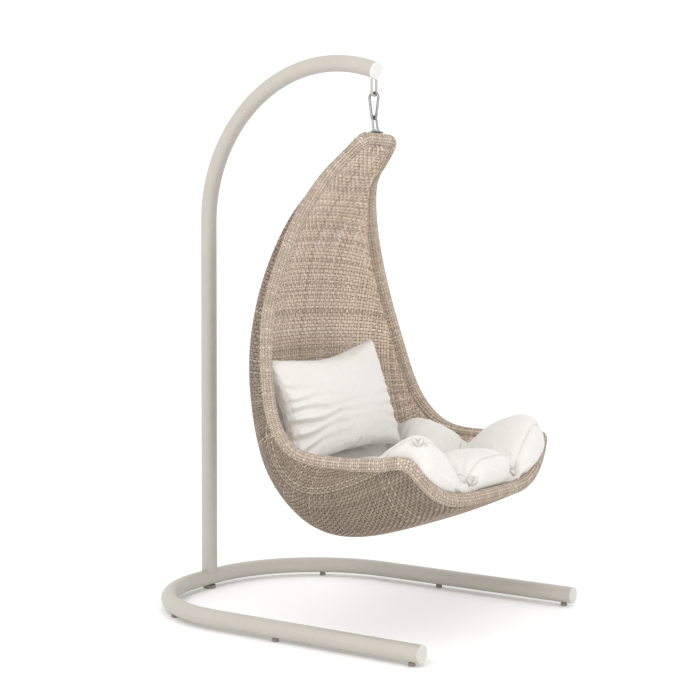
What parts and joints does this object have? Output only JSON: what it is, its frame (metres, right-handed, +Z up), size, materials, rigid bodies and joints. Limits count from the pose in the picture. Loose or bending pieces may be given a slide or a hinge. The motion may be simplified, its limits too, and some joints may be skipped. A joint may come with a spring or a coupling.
{
  "type": "hanging egg chair",
  "caption": "Woven teardrop chair with cushions, hung by a U-bolt and snap hook from a curved mast on a U-shaped base.",
  "frame": {"origin": "on the floor, in the middle of the stand's footprint", "axes": "+Z up, -Y the way the chair faces, +X to the sitter's left; the mast stands at +Y"},
  "size_m": [1.109, 1.334, 2.012],
  "materials": {
    "powder_coat": "satin",
    "white_paint": "satin",
    "cap_plastic": "satin",
    "foot_rubber": "matte",
    "zinc_steel": "satin",
    "stainless_steel": "polished",
    "frame_aluminium": "satin",
    "woven_rattan": "satin",
    "cushion_fabric": "matte"
  },
  "bodies": {
    "stand": {"base_tube": "powder_coat", "base_end_cap_left": "cap_plastic", "base_end_cap_right": "cap_plastic", "foot_front_left": "foot_rubber", "foot_front_right": "foot_rubber", "foot_middle_left": "foot_rubber", "foot_middle_right": "foot_rubber", "foot_rear_left": "foot_rubber", "foot_rear_right": "foot_rubber", "foot_mast": "foot_rubber", "foot_screw_front_left": "zinc_steel", "foot_screw_front_right": "zinc_steel", "foot_screw_middle_left": "zinc_steel", "foot_screw_middle_right": "zinc_steel", "foot_screw_rear_left": "zinc_steel", "foot_screw_rear_right": "zinc_steel", "foot_screw_mast": "zinc_steel", "mast_tube": "powder_coat", "mast_spigot": "powder_coat", "mast_bolt_lower": "zinc_steel", "mast_bolt_upper": "zinc_steel", "mast_nut_lower": "zinc_steel", "mast_nut_upper": "zinc_steel", "mast_end_plate": "white_paint", "hanger_lug": "white_paint"},
    "carabiner": {"snap_hook": "stainless_steel", "gate_pin": "stainless_steel"},
    "gate": {"snap_gate": "stainless_steel", "gate_spring": "zinc_steel"},
    "chair": {"hanger_u_bolt": "stainless_steel", "crown_plate": "zinc_steel", "crown_nut_upper_left": "zinc_steel", "crown_nut_upper_right": "zinc_steel", "crown_nut_lower_left": "zinc_steel", "crown_nut_lower_right": "zinc_steel", "crown_washer_left": "zinc_steel", "crown_washer_right": "zinc_steel", "rim_tube": "frame_aluminium", "spine_tube": "frame_aluminium", "rib_neck_left": "frame_aluminium", "rib_neck_right": "frame_aluminium", "rib_shoulder_left": "frame_aluminium", "rib_shoulder_right": "frame_aluminium", "rib_back_left": "frame_aluminium", "rib_back_right": "frame_aluminium", "rib_waist_left": "frame_aluminium", "rib_waist_right": "frame_aluminium", "rib_seat_left": "frame_aluminium", "rib_seat_right": "frame_aluminium", "rim_wrap": "woven_rattan", "outer_skin": "woven_rattan", "inner_skin": "woven_rattan", "seat_cushion": "cushion_fabric", "back_pillow": "cushion_fabric"}
  },
  "joints": [
    {"name": "chair_swing", "type": "hinge", "parent": "stand", "child": "carabiner", "pos_m": [0, -0.1235, 1.857], "axis": [1, 0, 0], "range_deg": [-20, 20]},
    {"name": "chair_sway", "type": "hinge", "parent": "carabiner", "child": "chair", "pos_m": [0, -0.1235, 1.7748], "axis": [0, 1, 0], "range_deg": [-15, 15]},
    {"name": "gate_hinge", "type": "hinge", "parent": "carabiner", "child": "gate", "pos_m": [0, -0.13395, 1.7903], "axis": [1, 0, 0], "range_deg": [-25, 0], "stiffness_Nm_per_rad": 0.06, "springref_deg": 17.19}
  ]
}
